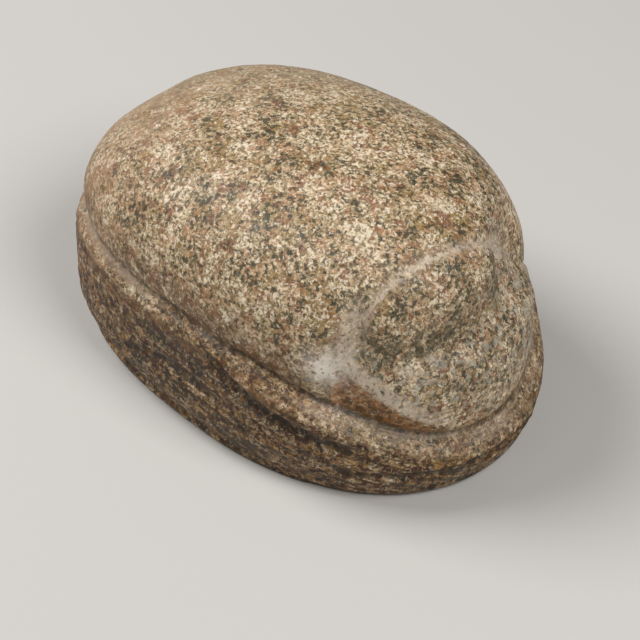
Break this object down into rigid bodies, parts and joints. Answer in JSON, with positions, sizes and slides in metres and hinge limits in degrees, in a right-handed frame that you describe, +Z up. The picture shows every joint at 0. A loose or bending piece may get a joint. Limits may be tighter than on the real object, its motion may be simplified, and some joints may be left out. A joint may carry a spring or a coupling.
{
  "type": "scarab amulet",
  "caption": "Hand-carved beetle amulet in speckled stone: smooth domed back, raised head boss, tucked legs under a worn ledge, flat underside.",
  "frame": {"origin": "centre of the outline on the plane of the flat underside", "axes": "+X from tail to head, +Y to the beetle's left, +Z up from the underside"},
  "size_m": [0.046, 0.0324, 0.0241],
  "materials": {
    "stone": "speckled granular stone, worn to a soft satin, paler and greyer in the carved grooves"
  },
  "bodies": {
    "root": {"scarab": "stone"}
  },
  "joints": []
}
